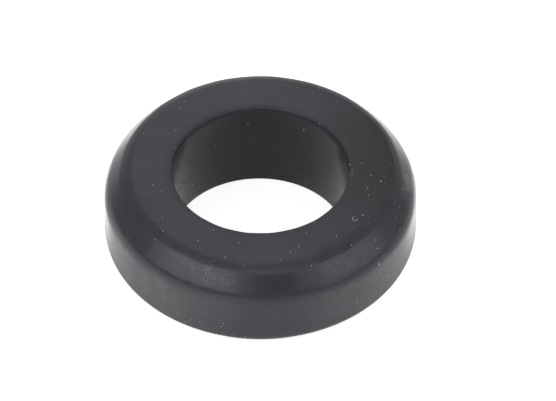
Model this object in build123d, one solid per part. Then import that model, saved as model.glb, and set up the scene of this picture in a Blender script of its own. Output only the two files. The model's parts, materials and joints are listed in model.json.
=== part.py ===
from build123d import *

import os
from math import atan2, pi, tan

# Fuel injector seal: one moulded rubber ring, a solid of revolution about Z.
# It stands on its lower face, with the origin at the middle of that face and +Z up along the bore.
# Millimetres throughout.

# Driving dimensions
outer_diameter = 22.0
bore_diameter = 12.4
height = 7.15
upper_bevel_width = 1.45
upper_bevel_height = 1.9
lower_bevel_width = 1.3
lower_bevel_height = 1.4

# Roundings of the edges: the upper ones are softer than the lower ones
upper_bore_edge_radius = 0.2
upper_land_edge_radius = 1.1
upper_wall_edge_radius = 1.8
lower_wall_edge_radius = 1.2
lower_land_edge_radius = 0.8
lower_bore_edge_radius = 0.1

# Share of each straight side that one rounded corner may use up
rounding_share = 0.45

outer_radius = outer_diameter / 2
bore_radius = bore_diameter / 2


def tangent_factor(before, corner, after):
    """Length of side that a corner's rounding uses, for each millimetre of its radius."""
    incoming = corner - before
    outgoing = after - corner
    turn = atan2(incoming.X * outgoing.Y - incoming.Y * outgoing.X, incoming.dot(outgoing))
    return tan(min(abs(turn), pi / 2) / 2)


def fitted_radius(wanted, before, corner, after):
    """The wanted rounding, or the largest that leaves both sides of the corner a straight stretch."""
    shorter_side = min((corner - before).length, (after - corner).length)
    return min(wanted, rounding_share * shorter_side / tangent_factor(before, corner, after))


def ring_section():
    """Half section on the XZ plane: bore wall, flat lands, bevels and outer wall, with every edge rounded."""
    corners = [
        (Vector(bore_radius, 0), lower_bore_edge_radius),
        (Vector(outer_radius - lower_bevel_width, 0), lower_land_edge_radius),
        (Vector(outer_radius, lower_bevel_height), lower_wall_edge_radius),
        (Vector(outer_radius, height - upper_bevel_height), upper_wall_edge_radius),
        (Vector(outer_radius - upper_bevel_width, height), upper_land_edge_radius),
        (Vector(bore_radius, height), upper_bore_edge_radius),
    ]
    points = [point for point, wanted in corners]
    with BuildSketch(Plane.XZ) as section:
        with BuildLine():
            Polyline(*points, close=True)
        make_face()
        for index, (point, wanted) in enumerate(corners):
            before = points[index - 1]
            after = points[(index + 1) % len(points)]
            corner = section.vertices().sort_by_distance(point)[0]
            fillet(corner, fitted_radius(wanted, before, point, after))
    return section.sketch


def seal_ring():
    """The rounded section turned once round the bore's axis."""
    with BuildPart() as ring:
        add(ring_section())
        revolve(axis=Axis.Z)
    return ring.part


os.makedirs("parts", exist_ok=True)
export_step(seal_ring(), "parts/seal_ring.step")
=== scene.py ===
import json
import random
from math import atan2, cos, degrees, pi, radians, sin, tan

import bmesh
import bpy
import numpy as np
from mathutils import Matrix, Vector
from mathutils.bvhtree import BVHTree


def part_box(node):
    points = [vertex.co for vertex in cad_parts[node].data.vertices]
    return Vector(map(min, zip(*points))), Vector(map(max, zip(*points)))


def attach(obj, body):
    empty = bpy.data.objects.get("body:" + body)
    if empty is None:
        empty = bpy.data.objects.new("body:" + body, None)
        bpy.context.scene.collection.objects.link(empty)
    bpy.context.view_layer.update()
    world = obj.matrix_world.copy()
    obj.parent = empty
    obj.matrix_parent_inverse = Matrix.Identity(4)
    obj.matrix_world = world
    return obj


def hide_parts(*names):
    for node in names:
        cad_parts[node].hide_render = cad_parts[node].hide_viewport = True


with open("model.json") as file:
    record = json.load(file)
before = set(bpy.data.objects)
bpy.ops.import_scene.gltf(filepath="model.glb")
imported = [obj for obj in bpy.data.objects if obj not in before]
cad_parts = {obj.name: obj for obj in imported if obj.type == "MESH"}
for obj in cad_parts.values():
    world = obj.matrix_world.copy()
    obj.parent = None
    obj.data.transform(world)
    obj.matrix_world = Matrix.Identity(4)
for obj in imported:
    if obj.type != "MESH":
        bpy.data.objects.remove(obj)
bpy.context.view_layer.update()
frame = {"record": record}

# The ring's sizes in metres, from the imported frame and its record
lowest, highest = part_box("seal_ring")
mounts = {mount["name"]: mount for mount in frame["record"]["mounts"]}
OUTER_RADIUS = highest.x
HEIGHT = highest.z
BORE_RADIUS = mounts["bore"]["dims"]["r_mm"] / 1000

# The bevels and rounded edges of the ring's section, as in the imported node
UPPER_BEVEL_WIDTH = 0.00145
UPPER_BEVEL_HEIGHT = 0.0019
LOWER_BEVEL_WIDTH = 0.0013
LOWER_BEVEL_HEIGHT = 0.0014
UPPER_BORE_EDGE_RADIUS = 0.0002
UPPER_LAND_EDGE_RADIUS = 0.0011
UPPER_WALL_EDGE_RADIUS = 0.0018
LOWER_WALL_EDGE_RADIUS = 0.0012
LOWER_LAND_EDGE_RADIUS = 0.0008
LOWER_BORE_EDGE_RADIUS = 0.0001

# The camera: its angle above the floor, its distance, and where the ring's middle falls in the photograph
PHOTO_WIDTH, PHOTO_HEIGHT = 556, 401
SENSOR_WIDTH = 36.0
CAMERA_ELEVATION = radians(45.05)
CAMERA_DISTANCE = 0.495
CAMERA_ROLL = radians(0.02)
FOCAL_PIXELS = 7013
RING_MIDDLE_PX = (260.4, 205.2)


def profile_corners():
    """The ring's half section, corner by corner, as (radius, height, rounding)."""
    return [
        (BORE_RADIUS, 0.0, LOWER_BORE_EDGE_RADIUS),
        (OUTER_RADIUS - LOWER_BEVEL_WIDTH, 0.0, LOWER_LAND_EDGE_RADIUS),
        (OUTER_RADIUS, LOWER_BEVEL_HEIGHT, LOWER_WALL_EDGE_RADIUS),
        (OUTER_RADIUS, HEIGHT - UPPER_BEVEL_HEIGHT, UPPER_WALL_EDGE_RADIUS),
        (OUTER_RADIUS - UPPER_BEVEL_WIDTH, HEIGHT, UPPER_LAND_EDGE_RADIUS),
        (BORE_RADIUS, HEIGHT, UPPER_BORE_EDGE_RADIUS),
    ]


def rounded_profile(arc_steps=8, side_step=0.00022):
    """The half section as a closed run of points: arcs at the corners, straight sides divided evenly."""
    corners = [(Vector((r, z)), rounding) for r, z, rounding in profile_corners()]
    points = []
    for index, (corner, rounding) in enumerate(corners):
        before = corners[index - 1][0]
        after = corners[(index + 1) % len(corners)][0]
        back = (before - corner).normalized()
        ahead = (after - corner).normalized()
        half_angle = back.angle(ahead) / 2
        centre = corner + (back + ahead).normalized() * rounding / sin(half_angle)
        start = corner + back * rounding / tan(half_angle)
        end = corner + ahead * rounding / tan(half_angle)
        first = atan2(start.y - centre.y, start.x - centre.x)
        turn = atan2(end.y - centre.y, end.x - centre.x) - first
        turn = (turn + pi) % (2 * pi) - pi
        arc = []
        for step in range(arc_steps + 1):
            angle = first + turn * step / arc_steps
            arc.append(centre + rounding * Vector((cos(angle), sin(angle))))
        if points:
            points += divided(points[-1], arc[0], side_step)
        points += arc
    return points + divided(points[-1], points[0], side_step)


def divided(start, end, step):
    """The points between start and end, both left out, at most a step apart."""
    count = int((end - start).length / step)
    return [start.lerp(end, (index + 1) / (count + 1)) for index in range(count)]


# Slight unevenness of the moulding: how far the upper edges and the rim wander, and how far the bore leans
EDGE_WANDER = 0.000008
RIM_WANDER = 0.000012
BORE_LEAN = 0.00008
# How far the upper bevel swells, and how far the land sinks towards its outer edge
BEVEL_SWELL = 0.000016
LAND_SINK = 0.000022
WANDER_LOBES = range(3, 30, 2)


def eased(value, start, end):
    """0 before start, 1 after end, and a soft step between them."""
    share = np.clip((value - start) / (end - start), 0, 1)
    return share * share * (3 - 2 * share)


def wander(azimuth, height, seed):
    """A slow irregular wave round the ring, between about -1 and 1, that shifts with height."""
    dice = np.random.default_rng(seed)
    wave = np.zeros_like(azimuth)
    for lobes in WANDER_LOBES:
        phase, slant = dice.uniform(0, 2 * pi, 2)
        wave += np.sin(lobes * azimuth + slant * height / HEIGHT + phase)
    return wave / len(WANDER_LOBES) ** 0.5


def unevenness(azimuth, radius, height):
    """How far each point moves outwards; the outer wall, the lower face and the flat land stay put."""
    upper = eased(height, HEIGHT - UPPER_BEVEL_HEIGHT - 0.0006, HEIGHT - 0.001)
    inner = 1 - eased(radius, BORE_RADIUS, BORE_RADIUS + 0.0004)
    rim = inner * eased(height, HEIGHT - 0.002, HEIGHT)
    edges = EDGE_WANDER * wander(azimuth, height, 3) * upper * (1 - inner)
    bevel_middle = HEIGHT - UPPER_BEVEL_HEIGHT / 2
    swell = 1 - np.clip((height - bevel_middle) / (0.4 * UPPER_BEVEL_HEIGHT), -1, 1) ** 2
    return edges + RIM_WANDER * wander(azimuth, height, 5) * rim + BEVEL_SWELL * swell * (1 - inner)


def turned_mesh(name, section, segments=600):
    """A closed section turned once round Z, with the slight unevenness of a moulding."""
    rings = len(section)
    angles = np.arange(segments) * 2 * pi / segments
    azimuth = np.repeat(angles[:, None], rings, axis=1)
    radius = np.tile([point.x for point in section], (segments, 1))
    height = np.tile([point.y for point in section], (segments, 1))
    lean = -BORE_LEAN * (1 - eased(radius, BORE_RADIUS, OUTER_RADIUS)) * (1 - height / HEIGHT)
    land_edge = OUTER_RADIUS - UPPER_BEVEL_WIDTH
    sunk = eased(radius, land_edge - 0.0012, land_edge) * eased(height, HEIGHT - UPPER_BEVEL_HEIGHT, HEIGHT)
    radius = radius + unevenness(azimuth, radius, height)
    height = height - LAND_SINK * sunk
    vertices = np.stack([radius * np.sin(azimuth) + lean, -radius * np.cos(azimuth), height], axis=-1)
    faces = []
    for a in range(segments):
        b = (a + 1) % segments
        for i in range(rings):
            j = (i + 1) % rings
            faces.append((a * rings + i, b * rings + i, b * rings + j, a * rings + j))
    return linked_piece(name, vertices.reshape(-1, 3).tolist(), faces)


def linked_piece(name, vertices, faces):
    """A smooth-shaded mesh object in the scene."""
    mesh = bpy.data.meshes.new(name)
    mesh.from_pydata(vertices, [], faces)
    mesh.shade_smooth()
    piece = bpy.data.objects.new(name, mesh)
    bpy.context.scene.collection.objects.link(piece)
    return piece


class Nodes:
    """Short calls for building a node tree."""

    def __init__(self, tree):
        self.tree = tree

    def add(self, kind, **inputs):
        node = self.tree.nodes.new(kind)
        for name, value in inputs.items():
            self.set(node, name.replace("_", " "), value)
        return node

    def set(self, node, name, value):
        socket = node.inputs[name]
        if isinstance(value, bpy.types.NodeSocket):
            self.tree.links.new(value, socket)
        else:
            socket.default_value = value

    def math(self, operation, first, second=0.5, third=0.5):
        node = self.tree.nodes.new("ShaderNodeMath")
        node.operation = operation
        for index, value in enumerate((first, second, third)):
            self.set(node, index, value)
        return node.outputs[0]

    def noise(self, vector, scale, detail=2.0, roughness=0.5):
        node = self.add("ShaderNodeTexNoise", Vector=vector, Scale=scale, Detail=detail, Roughness=roughness)
        return node.outputs["Fac"]

    def mix(self, share, first, second):
        node = self.tree.nodes.new("ShaderNodeMix")
        for index, value in enumerate((share, first, second)):
            self.set(node, (0, 2, 3)[index], value)
        return node.outputs[0]

    def blend(self, share, first, second):
        """The mix of two colours."""
        node = self.tree.nodes.new("ShaderNodeMix")
        node.data_type = "RGBA"
        for index, value in enumerate((share, first, second)):
            self.set(node, (0, 6, 7)[index], value)
        return node.outputs[2]

    def product(self, *values):
        result = values[0]
        for value in values[1:]:
            result = self.math("MULTIPLY", result, value)
        return result

    def window(self, value, low, high, soft):
        """1 between low and high, and 0 outside, with soft sides."""
        rise = self.ramp(value, low - soft, low + soft, smooth=True)
        return self.product(rise, self.ramp(value, high - soft, high + soft, 1.0, 0.0, smooth=True))

    def ramp(self, value, low_in, high_in, low_out=0.0, high_out=1.0, smooth=False):
        node = self.tree.nodes.new("ShaderNodeMapRange")
        node.interpolation_type = "SMOOTHSTEP" if smooth else "LINEAR"
        for index, number in enumerate((value, low_in, high_in, low_out, high_out)):
            self.set(node, index, number)
        return node.outputs[0]


# Rubber tones, and the marks on it, some of them painted shade, painted reflection and painted highlight. A mark's
# place is an azimuth window in degrees, 0 facing the camera and plus to its right, and a window of height or of
# radius in metres
RUBBER_DARK = (0.0170, 0.0156, 0.0232, 1.0)
RUBBER_LIGHT = (0.0270, 0.0247, 0.0358, 1.0)
POWDER_AND_SHEEN_TONE = (0.118, 0.116, 0.129, 1.0)
DARK_REFLECTION_TONE = (0.010, 0.008, 0.015, 1.0)
PAINTED_SHADE_TONE = (0.006, 0.006, 0.008, 1.0)
# Powder patches on the bevel, where the lamps' highlights fall: pale powder, and painted highlight mottle
POWDER_AND_SHEEN_LEFT = ((-37, -12), (0.0058, 0.00685))
POWDER_AND_SHEEN_RIGHT = ((23, 45), (0.0058, 0.0068))
POWDER_AND_SHEEN_SLANT = 0.00002
# Painted dark reflection: a darker, mottled patch on the front of the bevel, between its two highlights
FRONT_DARK_REFLECTION = ((-3, 13), (0.0057, 0.0067))
BORE_TONE = (0.0235, 0.017, 0.0212, 1.0)
# Painted shade on the upper land: a painted dark reflection band at its outer edge on the right, behind, and a darker
# right side reaching to the bore
DARK_REFLECTION_BAND = ((107, 121), (0.0087, 0.0098))
SHADED_RIGHT_LAND = ((62, 128), (0.0062, 0.0098))
WALL_FLECKS = ((22, 62), (0.0018, 0.005))
WALL_SMEARS = ((-75, -28),)
# How much paler the half of the land away from the camera is made
BACK_LAND_PALING = 0.055
# Painted highlight: a pale patch on the ring's right edge, where its bright reflection blows out
EDGE_HIGHLIGHT = ((84, 91), (0.0055, 0.0064))
# A stretch of the land near its outer edge in front that is made slightly paler
FRONT_LAND_PALING = ((-12, 24), (0.0085, 0.0099))


class RingPlace:
    """Where on the ring a shading point lies: azimuth in degrees, radius and height in metres."""

    def __init__(self, nodes, place):
        spot = nodes.add("ShaderNodeSeparateXYZ", Vector=place)
        across = spot.outputs["X"]
        away = spot.outputs["Y"]
        toward = nodes.math("MULTIPLY", away, -1.0)
        squares = nodes.math("ADD", nodes.math("POWER", across, 2.0), nodes.math("POWER", away, 2.0))
        self.nodes = nodes
        self.azimuth = nodes.math("MULTIPLY", nodes.math("ARCTAN2", across, toward), degrees(1.0))
        self.radius = nodes.math("SQRT", squares)
        self.height = spot.outputs["Z"]
        self.outside = nodes.ramp(self.radius, 0.0081, 0.0088)
        self.ragged_azimuth = self.shifted(self.azimuth, nodes.noise(place, 700.0, 4.0, 0.6), 16.0)
        self.ragged_height = self.shifted(self.height, nodes.noise(place, 1100.0, 4.0, 0.6), 0.0009)
        self.ragged_radius = self.shifted(self.radius, nodes.noise(place, 900.0, 3.0), 0.0008)

    def shifted(self, value, noise, amount):
        """The value pushed up and down by a noise, so that a window on it has ragged sides."""
        push = self.nodes.math("MULTIPLY", self.nodes.math("SUBTRACT", noise, 0.5), amount)
        return self.nodes.math("ADD", value, push)

    def patch(self, mark, soft_azimuth=3.0, soft_height=0.00015, slant=0.0):
        """1 inside a mark's windows of azimuth and height; slant is how far its foot drops in each degree."""
        turn = self.nodes.window(self.ragged_azimuth, *mark[0], soft_azimuth)
        rise = self.nodes.window(self.ragged_height, *mark[1], soft_height)
        lean = self.nodes.product(self.nodes.math("SUBTRACT", self.azimuth, mark[0][1]), slant)
        foot = self.nodes.math("ADD", self.ragged_height, lean)
        above = self.nodes.ramp(foot, mark[1][0] - soft_height, mark[1][0] + soft_height, smooth=True)
        return self.nodes.product(turn, rise, above, self.outside)

    def land_patch(self, mark, soft_azimuth=3.0, soft_radius=0.0003):
        """1 inside a mark's windows of azimuth and radius, on the upper land only."""
        turn = self.nodes.window(self.ragged_azimuth, *mark[0], soft_azimuth)
        upper = self.nodes.ramp(self.height, HEIGHT - 0.0012, HEIGHT - 0.0004)
        return self.nodes.product(turn, upper, self.nodes.window(self.ragged_radius, *mark[1], soft_radius))

    def back_land(self):
        """1 on the half of the upper land that lies away from the camera, with a soft end."""
        turn = self.nodes.ramp(self.nodes.math("ABSOLUTE", self.ragged_azimuth), 125.0, 165.0, smooth=True)
        return self.nodes.product(turn, self.nodes.ramp(self.height, HEIGHT - 0.0012, HEIGHT - 0.0004))

    def bore(self):
        """1 on the bore's wall, below its rim."""
        inner = self.nodes.ramp(self.radius, BORE_RADIUS + 0.0001, BORE_RADIUS + 0.0002, 1.0, 0.0)
        return self.nodes.product(inner, self.nodes.ramp(self.height, HEIGHT - 0.0004, HEIGHT - 0.0002, 1.0, 0.0))

    def wall(self):
        """1 on the straight outer wall."""
        rise = self.nodes.window(self.height, LOWER_BEVEL_HEIGHT, HEIGHT - UPPER_BEVEL_HEIGHT, 0.0003)
        return self.nodes.product(rise, self.outside)

    def uprights(self):
        """Soft noise drawn out up and down the ring, as wiped smears."""
        turn = self.nodes.math("MULTIPLY", self.azimuth, 0.22)
        drawn_out = self.nodes.add("ShaderNodeCombineXYZ", X=turn, Y=self.nodes.math("MULTIPLY", self.height, 500.0))
        return self.nodes.noise(drawn_out.outputs[0], 1.0, 3.0, 0.55)

    def streaks(self, scale):
        """Noise drawn out round the ring, as the scratches of a tool that turned in the bore."""
        turn = self.nodes.math("MULTIPLY", self.azimuth, 0.07)
        rise = self.nodes.math("MULTIPLY", self.height, scale)
        drawn_out = self.nodes.add("ShaderNodeCombineXYZ", X=turn, Y=rise)
        return self.nodes.noise(drawn_out.outputs[0], 1.0, 3.0, 0.6)


def rubber_colour(nodes, spot, mottle, flecks, clouds):
    """Nearly black, with pale powder and painted highlight mottle on the bevel, a painted dark reflection between its
    two patches, and painted shade on the land's right side with a painted dark reflection band.
    """
    tone = nodes.blend(nodes.ramp(nodes.mix(0.5, mottle, clouds), 0.35, 0.65), RUBBER_DARK, RUBBER_LIGHT)
    tone = nodes.blend(nodes.product(spot.bore(), 0.8), tone, BORE_TONE)
    # Painted dark reflection on the front of the bevel
    dark_reflection = nodes.product(spot.patch(FRONT_DARK_REFLECTION), nodes.ramp(nodes.mix(0.5, mottle, flecks), 0.38, 0.58))
    tone = nodes.blend(dark_reflection, tone, DARK_REFLECTION_TONE)
    # Painted shade over the right side of the land, and a painted dark reflection band at its outer edge
    tone = nodes.blend(nodes.product(spot.land_patch(SHADED_RIGHT_LAND, 28.0, 0.0008), 0.65), tone, PAINTED_SHADE_TONE)
    tone = nodes.blend(spot.land_patch(DARK_REFLECTION_BAND, 6.0, 0.0006), tone, PAINTED_SHADE_TONE)
    # Pale powder on the bevel, partly painted highlight mottle where the lamps' highlights fall
    left = nodes.product(spot.patch(POWDER_AND_SHEEN_LEFT, 5.0, 0.00025, POWDER_AND_SHEEN_SLANT), 0.7)
    left = nodes.product(left, nodes.ramp(spot.azimuth, -40.0, -24.0, 0.5, 1.0))
    powder_and_sheen = nodes.math("ADD", left, nodes.product(spot.patch(POWDER_AND_SHEEN_RIGHT, 6.0, 0.00025), 0.33))
    powder_and_sheen = nodes.math("ADD", powder_and_sheen, nodes.product(spot.patch(WALL_FLECKS, 8.0), 0.35))
    smears = nodes.product(nodes.window(spot.ragged_azimuth, *WALL_SMEARS[0], 8.0), spot.wall())
    smears = nodes.product(smears, nodes.ramp(spot.uprights(), 0.45, 0.62))
    tone = nodes.blend(nodes.product(smears, 0.2), tone, POWDER_AND_SHEEN_TONE)
    # Painted highlight on the ring's right edge
    edge_highlight = nodes.product(spot.patch(EDGE_HIGHLIGHT, 1.8), nodes.ramp(flecks, 0.35, 0.6, 0.3, 0.7))
    tone = nodes.blend(edge_highlight, tone, POWDER_AND_SHEEN_TONE)
    # Paler over the back half of the land, and over a stretch near its outer edge in front
    tone = nodes.blend(nodes.product(spot.back_land(), BACK_LAND_PALING), tone, POWDER_AND_SHEEN_TONE)
    tone = nodes.blend(nodes.product(spot.land_patch(FRONT_LAND_PALING, 5.0, 0.0004), 0.06), tone, POWDER_AND_SHEEN_TONE)
    cloud = nodes.ramp(mottle, 0.33, 0.6, 0.35, 1.1)
    powder_and_sheen_flecks = nodes.product(powder_and_sheen, cloud, nodes.ramp(flecks, 0.36, 0.66))
    return nodes.blend(powder_and_sheen_flecks, tone, POWDER_AND_SHEEN_TONE), powder_and_sheen


def rubber_material():
    """Moulded black rubber: a satin gloss broken up by a fine grain, duller where the pale powder and painted
    highlight mottle lie.
    """
    material = bpy.data.materials.new("moulded_rubber")
    material.use_nodes = True
    nodes = Nodes(material.node_tree)
    shader = material.node_tree.nodes["Principled BSDF"]
    shader.inputs["IOR"].default_value = 1.5
    place = nodes.add("ShaderNodeTexCoord").outputs["Object"]
    grain = nodes.noise(place, 9000.0, 3.0)
    flecks = nodes.noise(place, 5200.0, 4.0, 0.65)
    mottle = nodes.noise(place, 1500.0, 3.0)
    spot = RingPlace(nodes, place)
    clouds = nodes.noise(place, 420.0, 3.0)
    colour, powder_and_sheen = rubber_colour(nodes, spot, mottle, flecks, clouds)
    nodes.set(shader, "Base Color", colour)
    rim = nodes.ramp(spot.radius, BORE_RADIUS + 0.0002, BORE_RADIUS + 0.0007, 1.0, 0.0)
    rim = nodes.product(rim, nodes.ramp(spot.height, HEIGHT - 0.0007, HEIGHT - 0.0003))
    gloss = nodes.mix(rim, nodes.ramp(mottle, 0.3, 0.7, 0.19, 0.26), 0.5)
    gloss = nodes.mix(nodes.product(powder_and_sheen, 0.6), gloss, 0.42)
    nodes.set(shader, "Roughness", nodes.mix(spot.land_patch(DARK_REFLECTION_BAND, 6.0, 0.0006), gloss, 0.42))
    depth = nodes.ramp(spot.height, HEIGHT - 0.0036, HEIGHT - 0.002, 1.0, 0.0)
    patches = nodes.ramp(clouds, 0.4, 0.55, 0.5, 1.0)
    sides = nodes.ramp(nodes.math("ABSOLUTE", spot.azimuth), 145.0, 172.0, 1.0, 0.4)
    scratches = nodes.math("SUBTRACT", spot.streaks(7000.0), 0.5)
    scratches = nodes.product(scratches, spot.bore(), depth, patches, sides)
    fine = nodes.add("ShaderNodeBump", Strength=1.0, Distance=0.000004, Height=grain)
    drawn = nodes.add("ShaderNodeBump", Strength=1.0, Distance=0.000032, Height=scratches)
    nodes.set(drawn, "Normal", fine.outputs["Normal"])
    specks = nodes.add("ShaderNodeBump", Strength=1.0, Distance=0.00002, Height=nodes.product(flecks, powder_and_sheen))
    nodes.set(specks, "Normal", drawn.outputs["Normal"])
    nodes.set(shader, "Normal", specks.outputs["Normal"])
    return material


def make_ring():
    ring = turned_mesh("rubber_ring", rounded_profile())
    ring.data.materials.append(rubber_material())
    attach(ring, "root")
    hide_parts("seal_ring")
    return ring


def light_only(nodes, camera_strength, glossy_strength):
    """How strongly a pale surface glows for the camera, and for reflections and refractions."""
    path = nodes.add("ShaderNodeLightPath")
    seen = nodes.math("MULTIPLY", path.outputs["Is Camera Ray"], camera_strength)
    mirrored = nodes.math("MAXIMUM", path.outputs["Is Glossy Ray"], path.outputs["Is Transmission Ray"])
    return nodes.math("ADD", seen, nodes.math("MULTIPLY", mirrored, glossy_strength))


FLOOR_RADIUS = 0.11
FLOOR_FORWARD = 0.05
FLOOR_FOOT_RADIUS = OUTER_RADIUS - LOWER_BEVEL_WIDTH - 0.0003
FLOOR_BORE_RADIUS = BORE_RADIUS + 0.0001
FLOOR_SEEN = 0.75
# The floor's glow in reflections is painted light; FLOOR_AT_FOOT is a painted contact shadow, FLOOR_IN_BORE painted
# shade inside the bore, and FLOOR_SHADE painted shade close behind the ring
FLOOR_MIRRORED = 0.44
FLOOR_AT_FOOT = 0.085
FLOOR_IN_BORE = (0.0, 0.28)
FLOOR_BESIDE = 0.15
FLOOR_BESIDE_FAR = 0.1
FLOOR_FAR = 0.1
FLOOR_BEHIND = (0.85, 0.88)
FLOOR_START_SLANT = -0.07
FLOOR_BEHIND_CENTRE = 0.00135
FLOOR_MIDDLE_SLANT = -0.14
FLOOR_SHADE = 0.7
FLOOR_SIDES = 0.4
FLOOR_FAR_SLANT = 0.2
FLOOR_SHADE_SLANT = -0.114
FLOOR_BORE_SIDES = 0.235
FLOOR_LEFT = 0.26
WORLD_HORIZON = 0.57
WORLD_OVERHEAD = 0.72
WORLD_BELOW = 0.2
WORLD_BACK_GLOW = 0.26
# A darker spot of the studio, behind on the right, that the land's edge mirrors
DARK_SPOT_TOWARD = (0.31, 0.835, 0.46)
DARK_SPOT_LEVEL = 0.3
WORLD_LEFT = 0.84
WORLD_FRONT_GLOW = 0.45


def floor_material():
    """Pale paper that glows in reflections as painted light: brightest close round the ring, with painted shadow at
    its foot and painted shade inside the bore.
    """
    material = bpy.data.materials.new("pale_floor")
    material.use_nodes = True
    tree = material.node_tree
    nodes = Nodes(tree)
    shader = tree.nodes["Principled BSDF"]
    shader.inputs["Base Color"].default_value = (0.85, 0.85, 0.85, 1.0)
    shader.inputs["Roughness"].default_value = 1.0
    shader.inputs["Specular IOR Level"].default_value = 0.0
    shader.inputs["Emission Color"].default_value = (1.0, 1.0, 1.0, 1.0)
    place = nodes.add("ShaderNodeTexCoord").outputs["Object"]
    spot = nodes.add("ShaderNodeSeparateXYZ", Vector=place)
    length = tree.nodes.new("ShaderNodeVectorMath")
    length.operation = "LENGTH"
    nodes.set(length, 0, place)
    radius = length.outputs["Value"]
    beside = nodes.ramp(nodes.math("ABSOLUTE", spot.outputs["X"]), 0.0, 0.012, 0.0, FLOOR_BESIDE)
    across = nodes.math("ABSOLUTE", nodes.math("SUBTRACT", spot.outputs["X"], 0.0006))
    glow = nodes.ramp(radius, OUTER_RADIUS, 0.045, FLOOR_MIRRORED, FLOOR_FAR, smooth=True)
    sideways = nodes.ramp(spot.outputs["X"], -0.01, 0.01, *FLOOR_BEHIND)
    start = nodes.math("ADD", spot.outputs["Y"], nodes.math("MULTIPLY", spot.outputs["X"], FLOOR_START_SLANT))
    behind = nodes.product(nodes.ramp(start, -0.0035, 0.002, smooth=True), sideways)
    behind = nodes.product(behind, nodes.ramp(radius, 0.019, 0.026, 1.0, 0.0))
    reach = nodes.math("ABSOLUTE", nodes.math("SUBTRACT", spot.outputs["X"], FLOOR_BEHIND_CENTRE))
    reach = nodes.math("SUBTRACT", reach, nodes.math("MULTIPLY", spot.outputs["Y"], 0.5))
    behind = nodes.product(behind, nodes.ramp(reach, 0.01285, 0.01465, 1.0, 0.0, smooth=True))
    middle = nodes.math("ADD", reach, nodes.math("MULTIPLY", spot.outputs["X"], FLOOR_MIDDLE_SLANT))
    behind = nodes.product(behind, nodes.ramp(middle, 0.0059, 0.0099, 0.5, 1.0, smooth=True))
    leaning = nodes.math("ADD", spot.outputs["Y"], nodes.math("MULTIPLY", spot.outputs["X"], FLOOR_SHADE_SLANT))
    shade = nodes.product(nodes.ramp(leaning, 0.004, 0.0055), nodes.ramp(radius, 0.013, 0.015, FLOOR_SHADE, 0.0))
    far = nodes.ramp(across, 0.0142, 0.0182, smooth=True)
    abreast = nodes.math("ADD", spot.outputs["Y"], nodes.math("MULTIPLY", spot.outputs["X"], FLOOR_FAR_SLANT))
    far = nodes.product(far, nodes.ramp(abreast, -0.003, 0.001, smooth=True))
    beside = nodes.product(beside, nodes.mix(far, 1.0, FLOOR_BESIDE_FAR))
    left = nodes.ramp(spot.outputs["X"], -0.006, -0.001, FLOOR_LEFT, 0.0)
    left = nodes.product(left, nodes.ramp(spot.outputs["Y"], -0.0095, -0.0065, 1.0, 0.0))
    beside = nodes.math("ADD", beside, left)
    glow = nodes.product(glow, nodes.mix(far, 1.0, FLOOR_SIDES))
    outside = nodes.math("ADD", nodes.math("ADD", glow, behind), beside)
    outside = nodes.product(outside, nodes.math("SUBTRACT", 1.0, shade))
    foot = nodes.ramp(radius, OUTER_RADIUS, OUTER_RADIUS + 0.0013)
    outside = nodes.mix(foot, FLOOR_AT_FOOT, outside)
    in_bore = nodes.ramp(radius, BORE_RADIUS, OUTER_RADIUS, 1.0, 0.0)
    shaded = nodes.ramp(spot.outputs["Y"], -0.003, 0.006, *FLOOR_IN_BORE)
    sides = nodes.ramp(nodes.math("ABSOLUTE", spot.outputs["X"]), 0.0015, 0.0045, 0.0, FLOOR_BORE_SIDES)
    shaded = nodes.math("ADD", shaded, sides)
    mirrored = nodes.mix(in_bore, outside, shaded)
    nodes.set(shader, "Emission Strength", light_only(nodes, FLOOR_SEEN, mirrored))
    return material


def make_floor():
    """A round floor, open where the ring's lower face covers it, so that the two don't share a plane."""
    mesh = bpy.data.meshes.new("floor")
    sides = 96
    turns = [2 * pi * side / sides for side in range(sides)]
    rim = [(FLOOR_RADIUS * cos(turn), FLOOR_RADIUS * sin(turn) - FLOOR_FORWARD, 0.0) for turn in turns]
    foot = [(FLOOR_FOOT_RADIUS * cos(turn), FLOOR_FOOT_RADIUS * sin(turn), 0.0) for turn in turns]
    inner = [(FLOOR_BORE_RADIUS * cos(turn), FLOOR_BORE_RADIUS * sin(turn), 0.0) for turn in turns]
    faces = [(side, (side + 1) % sides, sides + (side + 1) % sides, sides + side) for side in range(sides)]
    faces.append(tuple(range(2 * sides, 3 * sides)))
    mesh.from_pydata(rim + foot + inner, [], faces)
    floor = bpy.data.objects.new("floor", mesh)
    bpy.context.scene.collection.objects.link(floor)
    mesh.materials.append(floor_material())


def spot_of_sky(nodes, sight, toward, outer, inner):
    """1 within the inner angle of a direction, fading to 0 at the outer one; angles in degrees."""
    facing = nodes.tree.nodes.new("ShaderNodeVectorMath")
    facing.operation = "DOT_PRODUCT"
    nodes.set(facing, 0, sight)
    nodes.set(facing, 1, Vector(toward).normalized())
    return nodes.ramp(facing.outputs["Value"], cos(radians(outer)), cos(radians(inner)), smooth=True)


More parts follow.
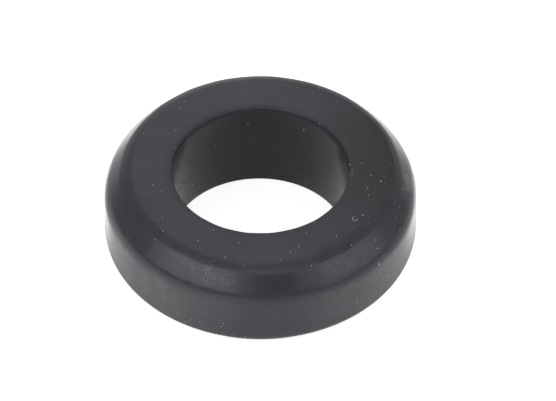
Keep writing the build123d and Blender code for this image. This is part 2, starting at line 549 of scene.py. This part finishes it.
def make_world():
    """A white studio, dimmer below the horizon, and plain white to the camera."""
    world = bpy.data.worlds.new("studio")
    world.use_nodes = True
    bpy.context.scene.world = world
    nodes = Nodes(world.node_tree)
    background = world.node_tree.nodes["Background"]
    background.inputs["Color"].default_value = (1.0, 1.0, 1.0, 1.0)
    sight = nodes.add("ShaderNodeTexCoord").outputs["Generated"]
    direction = nodes.add("ShaderNodeSeparateXYZ", Vector=sight)
    sky = nodes.ramp(direction.outputs["Z"], 0.0, 1.0, WORLD_HORIZON, WORLD_OVERHEAD)
    low = nodes.product(nodes.ramp(direction.outputs["Z"], 0.2, 0.6, WORLD_BACK_GLOW, 0.0, smooth=True))
    sky = nodes.math("ADD", sky, nodes.product(low, nodes.ramp(direction.outputs["Y"], 0.55, 0.85)))
    front = nodes.product(nodes.ramp(direction.outputs["Y"], -0.65, -0.45, WORLD_FRONT_GLOW, 0.0),
                          nodes.window(direction.outputs["Z"], 0.62, 0.93, 0.07))
    sky = nodes.math("ADD", sky, front)
    side = nodes.product(nodes.ramp(direction.outputs["X"], -0.9, -0.5, 1.0, 0.0),
                         nodes.ramp(direction.outputs["Y"], 0.05, 0.35))
    sky = nodes.product(sky, nodes.mix(side, 1.0, WORLD_LEFT))
    spot = nodes.mix(spot_of_sky(nodes, sight, DARK_SPOT_TOWARD, 9, 3), 1.0, DARK_SPOT_LEVEL)
    level = nodes.mix(nodes.ramp(direction.outputs["Z"], -0.1, 0.05), WORLD_BELOW, nodes.product(sky, spot))
    path = nodes.add("ShaderNodeLightPath")
    nodes.set(background, "Strength", nodes.math("MAXIMUM", level, path.outputs["Is Camera Ray"]))


FAR_LAMP = 0.6
NEAR_LAMP = 0.08


def soft_lamp(name, azimuth, elevation, width, height, radiance, distance=FAR_LAMP):
    """A soft box facing the ring. Azimuth 0 is the camera's side, and plus is to its right; angles in degrees."""
    lamp = bpy.data.lights.new(name, "AREA")
    lamp.shape = "RECTANGLE"
    lamp.size = 2 * distance * tan(radians(width / 2))
    lamp.size_y = 2 * distance * tan(radians(height / 2))
    lamp.energy = radiance * pi * lamp.size * lamp.size_y
    lamp_object = bpy.data.objects.new(name, lamp)
    bpy.context.scene.collection.objects.link(lamp_object)
    a, e = radians(azimuth), radians(elevation)
    towards = Vector((sin(a) * cos(e), -cos(a) * cos(e), sin(e)))
    lamp_object.location = towards * distance + Vector((0, 0, HEIGHT / 2))
    lamp_object.rotation_euler = towards.to_track_quat("Z", "Y").to_euler()
    return lamp_object


def make_lamps():
    soft_lamp("left_box", -47, 25, 66, 32, 0.7)
    soft_lamp("left_box_core", -45, 28, 46, 24, 0.66)
    soft_lamp("right_box", 63.5, 21, 58, 36, 0.5)
    soft_lamp("right_box_core", 63.5, 23, 40, 31, 0.28)
    soft_lamp("back_strip", 187.5, 44, 19, 78, 0.325, NEAR_LAMP)


def camera_place():
    """The photograph's camera: it looks down at the ring along +Y, turned a little so the ring falls off centre."""
    middle = Vector((0, 0, HEIGHT / 2))
    back = Vector((0, -cos(CAMERA_ELEVATION), sin(CAMERA_ELEVATION)))
    aim = Vector((0, 0, -1)).rotation_difference(toward_pixel(*RING_MIDDLE_PX)).inverted()
    square_on = back.to_track_quat("Z", "Y")
    roll = Matrix.Rotation(CAMERA_ROLL, 3, "Z").to_quaternion()
    return middle + back * CAMERA_DISTANCE, square_on @ aim @ roll


def toward_pixel(across, down):
    """The direction of a point of the photograph, in the camera's own frame."""
    right = (across - PHOTO_WIDTH / 2) / FOCAL_PIXELS
    below = (down - PHOTO_HEIGHT / 2) / FOCAL_PIXELS
    return Vector((right, -below, -1)).normalized()


def make_camera():
    camera = bpy.data.cameras.new("camera")
    camera.sensor_width = SENSOR_WIDTH
    camera.lens = FOCAL_PIXELS * SENSOR_WIDTH / PHOTO_WIDTH
    camera.clip_start = 0.01
    camera.clip_end = 10.0
    camera_object = bpy.data.objects.new("camera", camera)
    bpy.context.scene.collection.objects.link(camera_object)
    camera_object.location, turn = camera_place()
    camera_object.rotation_mode = "QUATERNION"
    camera_object.rotation_quaternion = turn
    bpy.context.scene.camera = camera_object


# Dust seen in the photograph, as (across, down, size) in its pixels; size is the grain's width
TOP_SPECKS_PX = [
    (179.6, 107.5, 1.2), (175, 130.8, 1.1), (153.3, 185.2, 1.3), (161.5, 191.7, 0.9), (184.6, 101.5, 0.9),
    (143.2, 133.5, 0.9), (226.7, 83.6, 1.0), (170.7, 167.3, 0.8), (174.6, 148.1, 0.8), (296.7, 87.9, 1.1),
    (319.6, 88.2, 1.2), (319.6, 123.6, 1.5), (349.8, 164.6, 1.3), (362, 163.3, 1.1), (371.3, 175.6, 1.3),
    (381, 181.3, 1.35), (391.5, 165.3, 1.1), (367.3, 188.3, 1.0), (368.2, 195.2, 1.1), (213.5, 230.4, 1.3),
    (191.7, 228.8, 1.0), (198.3, 240.8, 1.1), (239.3, 242.9, 1.1), (306.4, 233.1, 1.1), (314.3, 222.5, 1.0),
    (336.5, 236.4, 1.4), (298.9, 246.8, 1.0), (268.8, 246.8, 0.9), (362.7, 215.4, 1.5), (368.3, 223.2, 1.0),
    (353.5, 227.7, 1.2), (290.6, 252.3, 0.9), (313.5, 245.2, 1.0), (225.4, 257.5, 1.2), (214.4, 260.7, 1.1),
]
EDGE_SPECKS_PX = [
    (405.4, 176.1, 1.4), (402.3, 189, 1.4), (399.6, 207.3, 1.4), (395.4, 218.3, 1.1), (399.6, 229.8, 1.2),
    (162.3, 217.1, 1.0), (157.5, 219.4, 0.9), (162.7, 231.3, 1.1), (155.7, 239.3, 1.1), (244.2, 265.2, 0.9),
    (311.4, 265.4, 1.0), (351.5, 245, 1.2), (375.3, 240, 1.2), (377.5, 248.3, 1.1), (280.6, 260.2, 0.9),
]
WALL_SPECKS_PX = [
    (379, 264, 2.1), (386.9, 275.2, 2.0), (371.1, 280.3, 1.3), (290.2, 325.6, 1.2), (191.1, 318.9, 1.1),
    (202.7, 324, 1.2), (178.1, 313.5, 1.2), (223.6, 323.3, 1.4), (221.4, 326.3, 1.2), (184.6, 321.8, 1.0),
    (232.5, 335, 1.1), (245.4, 336.7, 1.0), (206, 273, 1.4), (210, 274.5, 1.3),
]
BORE_SPECKS_PX = [
    (215.3, 145.4, 1.2), (253.5, 138.5, 1.2), (201.5, 129.4, 0.9), (185.4, 189.2, 1.7), (247.9, 123.6, 1.0),
    (200, 153.6, 0.9), (337.7, 163.2, 1.1), (192.4, 185.2, 1.0), (346.5, 142, 1.0),
]
# Lint seen in the photograph: the line of each fibre, in its pixels
HOOK_FIBRE_PX = [(354.4, 215.9), (353.4, 217.4), (352.6, 219.2), (353.8, 220.5), (356.2, 220.5), (357.6, 218.9)]
ARCH_FIBRE_PX = [(303.2, 130.4), (304.2, 129.0), (305.4, 129.1), (306.5, 130.4)]
UPRIGHT_FIBRE_PX = [(357.5, 301.2), (357.4, 303.2), (357.6, 305.0)]
RED_FIBRE_PX = [(182.8, 183.6), (185.2, 183.0), (187.0, 183.3), (188.6, 184.4)]
RIM_FIBRE_PX = [(352.4, 168.6), (352.9, 170.4), (352.2, 172.4)]
BOW_FIBRE_PX = [(348.8, 175.8), (351.0, 174.7), (353.6, 175.4)]
FIBRE_THICKNESS = 0.000034
FINE_THICKNESS = 0.000014

# Unseen and finer dust: how many grains lie anywhere, and in the windows of azimuth and of height or radius
DUST_SEED = 11
GRAIN_SIZES = (0.000005, 0.0000145)
LOOSE_GRAINS = 220
DUSTY_LANDS = [
    ((50, 88), (0.0072, 0.0096), 120),
    ((167, 179), (0.0081, 0.0095), 30),
    ((-30, 45), (0.0068, 0.0092), 20),
]
DUSTY_WALLS = [((25, 62), (0.0016, 0.005), 60), ((-40, 20), (0.0008, 0.003), 16), ((-180, 180), (0.0056, 0.0066), 50)]


class Surface:
    """The ring's outside, to set grains and fibres on."""

    def __init__(self, ring):
        mesh = ring.data
        corners = [vertex.co.copy() for vertex in mesh.vertices]
        self.tree = BVHTree.FromPolygons(corners, [tuple(face.vertices) for face in mesh.polygons])
        self.eye, self.turn = camera_place()

    def at_pixel(self, across, down):
        """The point of the ring seen at a point of the photograph, and its normal."""
        place, normal, _, _ = self.tree.ray_cast(self.eye, self.turn @ toward_pixel(across, down))
        return place, normal

    def nearest(self, point):
        place, normal, _, _ = self.tree.find_nearest(point)
        return place, normal


def ring_point(azimuth, radius, height):
    turn = radians(azimuth)
    return Vector((radius * sin(turn), -radius * cos(turn), height))


def grain_shape():
    """The corners and faces of a rough ball of radius 1."""
    ball = bmesh.new()
    bmesh.ops.create_icosphere(ball, subdivisions=1, radius=1.0)
    corners = [vertex.co.copy() for vertex in ball.verts]
    faces = [[vertex.index for vertex in face.verts] for face in ball.faces]
    ball.free()
    return corners, faces


class Heap:
    """Many small shapes gathered into one mesh."""

    def __init__(self):
        self.vertices = []
        self.faces = []

    def put(self, corners, faces):
        first = len(self.vertices)
        self.vertices += [tuple(corner) for corner in corners]
        self.faces += [tuple(first + index for index in face) for face in faces]


def add_grain(heap, dice, shape, place, normal, size):
    """A flattened, irregular grain bedded on the surface."""
    corners, faces = shape
    stand = normal.to_track_quat("Z", "Y").to_matrix() @ Matrix.Rotation(dice.uniform(0, 2 * pi), 3, "Z")
    breadth = dice.uniform(0.6, 1.0)
    moved = []
    for corner in corners:
        rough = corner * dice.uniform(0.75, 1.2)
        flat = Vector((rough.x, rough.y * breadth, rough.z * 0.55))
        moved.append(place + stand @ (flat * size) + normal * size * 0.3)
    heap.put(moved, faces)


def scattered_places(dice, surface):
    """Places for loose grains: all over the ring above its foot, and closer together in the dusty windows."""
    section = [point for point in rounded_profile() if point.y > 0.0005]
    for _ in range(LOOSE_GRAINS):
        point = dice.choice(section)
        yield surface.nearest(ring_point(dice.uniform(-180, 180), point.x, point.y + dice.uniform(-0.0001, 0.0001)))
    for turns, radii, count in DUSTY_LANDS:
        for _ in range(count):
            yield surface.nearest(ring_point(dice.uniform(*turns), dice.uniform(*radii), HEIGHT))
    for turns, heights, count in DUSTY_WALLS:
        for _ in range(count):
            yield surface.nearest(ring_point(dice.uniform(*turns), OUTER_RADIUS, dice.uniform(*heights)))


def dust_material():
    """Pale dust, some grains darker than others."""
    material = bpy.data.materials.new("pale_dust")
    material.use_nodes = True
    nodes = Nodes(material.node_tree)
    shader = material.node_tree.nodes["Principled BSDF"]
    place = nodes.add("ShaderNodeTexCoord").outputs["Object"]
    shade = nodes.ramp(nodes.noise(place, 900.0, 1.0), 0.35, 0.65)
    rough = nodes.noise(place, 30000.0, 2.0)
    nodes.set(shader, "Base Color", nodes.blend(shade, (0.3, 0.29, 0.3, 1.0), (0.8, 0.79, 0.78, 1.0)))
    nodes.set(shader, "Roughness", nodes.ramp(rough, 0.3, 0.7, 0.8, 1.0))
    bump = nodes.add("ShaderNodeBump", Strength=1.0, Distance=0.000004, Height=rough)
    nodes.set(shader, "Normal", bump.outputs["Normal"])
    return material


def make_dust(surface):
    dice = random.Random(DUST_SEED)
    heap = Heap()
    shape = grain_shape()
    pixel = CAMERA_DISTANCE / FOCAL_PIXELS
    for across, down, width in TOP_SPECKS_PX + EDGE_SPECKS_PX + WALL_SPECKS_PX + BORE_SPECKS_PX:
        place, normal = surface.at_pixel(across, down)
        if place:
            add_grain(heap, dice, shape, place, normal, width * pixel / 2)
    for place, normal in scattered_places(dice, surface):
        add_grain(heap, dice, shape, place, normal, dice.uniform(*GRAIN_SIZES))
    grains = linked_piece("dust_grains", heap.vertices, heap.faces)
    grains.data.materials.append(dust_material())
    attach(grains, "root")


def lint_material(name, pale, dark):
    """A fibre whose tone changes a little along it."""
    material = bpy.data.materials.new(name)
    material.use_nodes = True
    nodes = Nodes(material.node_tree)
    shader = material.node_tree.nodes["Principled BSDF"]
    place = nodes.add("ShaderNodeTexCoord").outputs["Object"]
    shade = nodes.noise(place, 6000.0, 2.0)
    nodes.set(shader, "Base Color", nodes.blend(nodes.ramp(shade, 0.35, 0.65), dark, pale))
    nodes.set(shader, "Roughness", nodes.ramp(shade, 0.3, 0.7, 0.6, 0.9))
    bump = nodes.add("ShaderNodeBump", Strength=1.0, Distance=0.000003, Height=shade)
    nodes.set(shader, "Normal", bump.outputs["Normal"])
    return material


def smooth_line(points, steps=5):
    """Points along a smooth curve through the given ones."""
    ends = [points[0]] + points + [points[-1]]
    line = []
    for index in range(len(points) - 1):
        a, b, c, d = (Vector(point) for point in ends[index:index + 4])
        for step in range(steps):
            t = step / steps
            bent = (2 * a - 5 * b + 4 * c - d) * t ** 2 + (3 * b - a - 3 * c + d) * t ** 3
            line.append((2 * b + (c - a) * t + bent) / 2)
    return line + [Vector(points[-1])]


def add_fibre(heap, surface, line, thickness=FIBRE_THICKNESS, sides=6):
    """A thin round fibre lying on the surface along a line of the photograph."""
    places = [surface.at_pixel(*point) for point in smooth_line(line)]
    thick = thickness / 2
    middles = [place + normal * thick * 0.7 for place, normal in places]
    corners = []
    for index, (_, normal) in enumerate(places):
        along = (middles[min(index + 1, len(places) - 1)] - middles[max(index - 1, 0)]).normalized()
        sideways = along.cross(normal).normalized()
        for side in range(sides):
            turn = 2 * pi * side / sides
            corners.append(middles[index] + (sideways * cos(turn) + normal * sin(turn)) * thick)
    faces = [tuple(reversed(range(sides))), tuple(range(len(corners) - sides, len(corners)))]
    for index in range(len(places) - 1):
        for side in range(sides):
            a = index * sides + side
            b = index * sides + (side + 1) % sides
            faces.append((a, b, b + sides, a + sides))
    heap.put(corners, faces)


def make_lint(surface):
    pale = Heap()
    for line in (HOOK_FIBRE_PX, ARCH_FIBRE_PX, UPRIGHT_FIBRE_PX):
        add_fibre(pale, surface, line)
    for line in (RIM_FIBRE_PX, BOW_FIBRE_PX):
        add_fibre(pale, surface, line, FINE_THICKNESS)
    white = linked_piece("lint_fibres", pale.vertices, pale.faces)
    white.data.materials.append(lint_material("pale_lint", (0.6, 0.6, 0.6, 1.0), (0.3, 0.3, 0.3, 1.0)))
    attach(white, "root")
    reddish = Heap()
    add_fibre(reddish, surface, RED_FIBRE_PX)
    red = linked_piece("red_lint_fibre", reddish.vertices, reddish.faces)
    red.data.materials.append(lint_material("red_lint", (0.3, 0.14, 0.13, 1.0), (0.16, 0.06, 0.06, 1.0)))
    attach(red, "root")


bpy.context.scene.view_settings.view_transform = "Standard"
make_camera()
make_world()
make_lamps()
make_floor()
ring_surface = Surface(make_ring())
make_dust(ring_surface)
make_lint(ring_surface)
